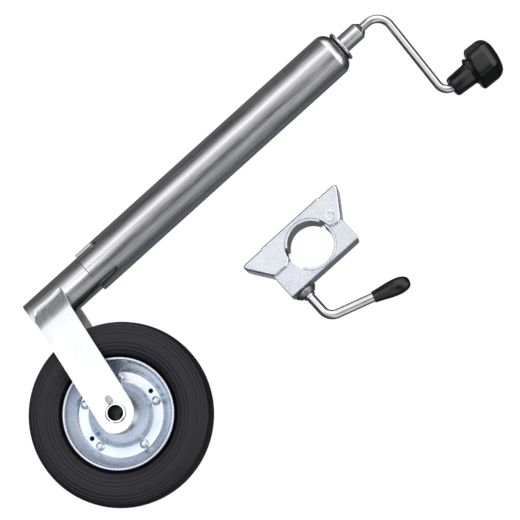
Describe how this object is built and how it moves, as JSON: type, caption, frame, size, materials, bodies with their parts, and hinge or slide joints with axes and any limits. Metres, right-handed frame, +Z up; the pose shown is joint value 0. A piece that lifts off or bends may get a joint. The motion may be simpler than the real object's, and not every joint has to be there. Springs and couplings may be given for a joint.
{
  "type": "tongue jack stand",
  "caption": "Screw-type trailer jockey wheel with a side-offset fork and solid-tyred wheel, bent crank and knob, lying beside its loose hinged split clamp with a bent screw handle.",
  "frame": {"origin": "middle of the bounding box's base, on the floor the part lies on", "axes": "+X along the outer tube towards the crank, +Z up from the floor and parallel to the wheel's axle, +Y away from the wheel across the tube"},
  "size_m": [0.6394, 0.2598, 0.0714],
  "materials": {
    "bright_zinc": "bright zinc plating, semi-gloss",
    "satin_zinc": "pale satin zinc plating",
    "blue_zinc": "blue-white zinc plating on pressed sheet",
    "black_plastic": "black moulded plastic, soft gloss",
    "nylon": "dark nylon",
    "tyre_rubber": "solid charcoal rubber with fine moulded ribs",
    "seal_rubber": "black rubber",
    "oiled_steel": "dark oiled steel"
  },
  "bodies": {
    "housing": {"outer_tube": "bright_zinc", "bearing_cup": "oiled_steel", "top_seal": "seal_rubber"},
    "crank": {"spindle": "oiled_steel", "thrust_washer": "oiled_steel", "spindle_stop": "oiled_steel", "crank_collar": "bright_zinc", "crank_hub": "bright_zinc", "crank_rod": "bright_zinc"},
    "knob": {"knob_grip": "black_plastic", "knob_clip": "oiled_steel"},
    "nut": {"spindle_nut": "oiled_steel"},
    "leg": {"inner_tube": "bright_zinc", "nut_ring_low": "oiled_steel", "nut_ring_top": "oiled_steel", "fork_leg_near": "satin_zinc", "fork_leg_far": "satin_zinc", "weld_near": "satin_zinc", "weld_far": "satin_zinc", "axle": "bright_zinc", "axle_lock_near": "satin_zinc", "axle_lock_far": "satin_zinc"},
    "wheel": {"tyre": "tyre_rubber", "rim_near": "blue_zinc", "rim_far": "blue_zinc", "hub_tube": "oiled_steel", "hub_bush_near": "nylon", "hub_bush_far": "nylon", "rim_rivet_1": "blue_zinc", "rim_rivet_2": "blue_zinc", "rim_rivet_3": "blue_zinc", "rim_rivet_4": "blue_zinc", "rim_rivet_5": "blue_zinc"},
    "clamp": {"clamp_bracket": "satin_zinc", "bracket_saddle": "satin_zinc", "pivot_rivet": "bright_zinc", "clamp_nut": "oiled_steel"},
    "jaw": {"clamp_jaw": "satin_zinc", "jaw_saddle": "satin_zinc"},
    "boss": {"screw_boss": "oiled_steel"},
    "screw": {"clamp_rod": "bright_zinc", "clamp_collar": "bright_zinc", "clamp_grip": "black_plastic"}
  },
  "joints": [
    {"name": "crank_turn", "type": "hinge", "parent": "housing", "child": "crank", "pos_m": [0.2053, 0.10592, 0.0357], "axis": [1, 0, 0], "range_deg": [-13320, 1800]},
    {"name": "nut_slide", "type": "slide", "parent": "housing", "child": "nut", "axis": [1, 0, 0], "range_m": [-0.1855, 0.0255]},
    {"name": "leg_swivel", "type": "hinge", "parent": "nut", "child": "leg", "pos_m": [-0.2, 0.10592, 0.0357], "axis": [-1, 0, 0], "continuous": true},
    {"name": "wheel_spin", "type": "hinge", "parent": "leg", "child": "wheel", "pos_m": [-0.22317, -0.02838, 0.0357], "axis": [0, 0, 1], "continuous": true},
    {"name": "knob_spin", "type": "hinge", "parent": "crank", "child": "knob", "pos_m": [0.26072, -0.00393, 0.02202], "axis": [0.9984, -0.0554, -0.0069], "continuous": true},
    {"name": "clamp_lift", "type": "slide", "parent": "housing", "child": "clamp", "axis": [0, 0, 1], "range_m": [0, 0.15]},
    {"name": "clamp_turn", "type": "hinge", "parent": "boss", "child": "screw", "pos_m": [0.00443, -0.05708, 0.02], "axis": [0, -1, 0], "range_deg": [0, 1080]},
    {"name": "boss_slide", "type": "slide", "parent": "clamp", "child": "boss", "axis": [0, -1, 0], "range_m": [0, 0.0053]},
    {"name": "jaw_swing", "type": "hinge", "parent": "clamp", "child": "jaw", "pos_m": [0.07613, -0.02088, 0.02], "axis": [0, 0, 1], "range_deg": [0, 4.25]}
  ],
  "couplings": [
    {"joint": "nut_slide", "follows": "crank_turn", "m_per_rad": 0.00079577},
    {"joint": "boss_slide", "follows": "clamp_turn", "m_per_rad": 0.00027852},
    {"joint": "jaw_swing", "follows": "clamp_turn", "ratio": 0.0038845}
  ]
}
